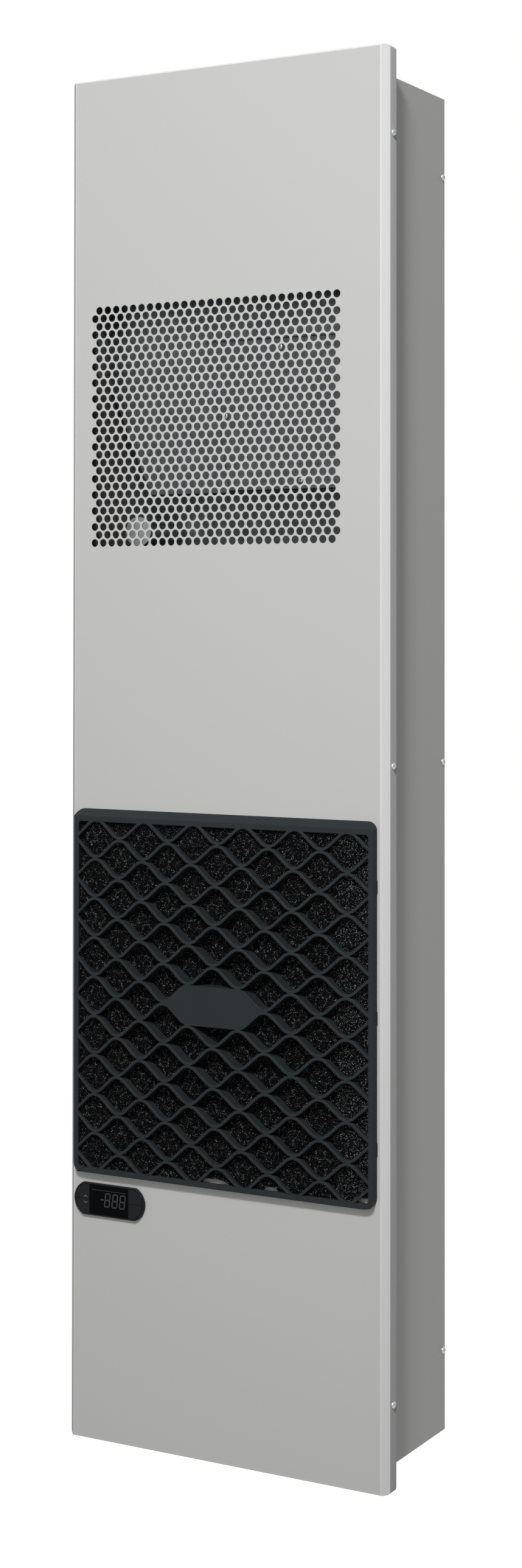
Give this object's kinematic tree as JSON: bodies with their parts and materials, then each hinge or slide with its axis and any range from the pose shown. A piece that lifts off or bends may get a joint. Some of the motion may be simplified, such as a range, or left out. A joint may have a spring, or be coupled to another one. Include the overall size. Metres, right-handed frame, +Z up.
{
  "type": "enclosure air conditioner",
  "caption": "Tall slim cooling unit set into an enclosure wall: bevelled front cover with a perforated outlet field, wave filter grille and small oval controller.",
  "frame": {"origin": "centre of the mounting plane, at the rear of the flange and halfway up the front cover", "axes": "+Z up, +Y into the enclosure, so the front faces -Y"},
  "size_m": [0.4122, 0.2093, 1.55],
  "materials": {
    "grey_powder_coat": "textured light grey powder coat",
    "galvanised_sheet": "galvanised steel sheet",
    "zinc_steel": "bright zinc plate",
    "anthracite_plastic": "moulded anthracite plastic",
    "filter_foam": "open-cell black foam",
    "black_rubber": "foam rubber and rubber",
    "black_plastic": "moulded black plastic",
    "smoked_window": "smoked gloss plastic",
    "circuit_board": "lacquered circuit board",
    "black_paint": "black enamel",
    "aluminium": "plain aluminium",
    "copper": "bare copper",
    "grey_plastic": "moulded grey plastic"
  },
  "bodies": {
    "unit": {"accumulator": "black_paint", "capillary_tube": "copper", "chassis": "grey_powder_coat", "compressor": "black_paint", "compressor_base": "galvanised_sheet", "compressor_bolts": "zinc_steel", "compressor_grommets": "black_rubber", "condenser_end_plates": "galvanised_sheet", "condenser_fan_motor": "black_paint", "condenser_fins": "aluminium", "condenser_shroud": "galvanised_sheet", "controller_bezel": "black_plastic", "controller_board": "circuit_board", "controller_case": "black_plastic", "controller_clips": "black_plastic", "controller_window": "smoked_window", "cover_screws": "zinc_steel", "discharge_pipe": "copper", "drain_tube": "black_rubber", "drip_tray": "grey_plastic", "electrical_box": "galvanised_sheet", "electrical_box_lid": "galvanised_sheet", "evaporator_end_plates": "galvanised_sheet", "evaporator_fan_motor": "black_paint", "evaporator_fins": "aluminium", "evaporator_inlet_cone": "galvanised_sheet", "fan_capacitor": "aluminium", "fan_housing": "galvanised_sheet", "fan_plate": "galvanised_sheet", "fan_plate_gasket": "black_rubber", "fan_plate_screws": "zinc_steel", "filter_drier": "copper", "front_cover": "grey_powder_coat", "liquid_pipe": "copper", "mounting_gasket": "black_rubber", "mounting_studs": "zinc_steel", "partition_wall": "galvanised_sheet", "rear_cover": "grey_powder_coat", "rear_cover_screws": "zinc_steel", "run_capacitor": "aluminium", "suction_pipe": "copper", "supply_socket": "black_plastic", "terminal_block": "grey_plastic", "terminal_cover": "black_plastic"},
    "filter_grille": {"filter_grille": "anthracite_plastic", "filter_mat": "filter_foam", "grille_clips": "anthracite_plastic"},
    "condenser_impeller": {"condenser_impeller": "black_plastic"},
    "evaporator_impeller": {"evaporator_impeller": "black_plastic"},
    "key_up": {"key_up": "black_plastic"},
    "key_down": {"key_down": "black_plastic"},
    "key_standby": {"key_standby": "black_plastic"},
    "key_set": {"key_set": "black_plastic"}
  },
  "joints": [
    {"name": "condenser_fan_spin", "type": "hinge", "parent": "unit", "child": "condenser_impeller", "pos_m": [0, 0.048, -0.2692], "axis": [0, 1, 0], "continuous": true},
    {"name": "evaporator_fan_spin", "type": "hinge", "parent": "unit", "child": "evaporator_impeller", "pos_m": [0.066, 0.056, 0.386], "axis": [0, 1, 0], "continuous": true},
    {"name": "filter_grille_pull", "type": "slide", "parent": "unit", "child": "filter_grille", "axis": [0, -1, 0], "range_m": [0, 0.06]},
    {"name": "key_up_press", "type": "slide", "parent": "unit", "child": "key_up", "axis": [0, 1, 0], "range_m": [0, 0.0008], "stiffness_N_per_m": 1000},
    {"name": "key_down_press", "type": "slide", "parent": "unit", "child": "key_down", "axis": [0, 1, 0], "range_m": [0, 0.0008], "stiffness_N_per_m": 1000},
    {"name": "key_standby_press", "type": "slide", "parent": "unit", "child": "key_standby", "axis": [0, 1, 0], "range_m": [0, 0.0008], "stiffness_N_per_m": 1000},
    {"name": "key_set_press", "type": "slide", "parent": "unit", "child": "key_set", "axis": [0, 1, 0], "range_m": [0, 0.0008], "stiffness_N_per_m": 1000}
  ]
}
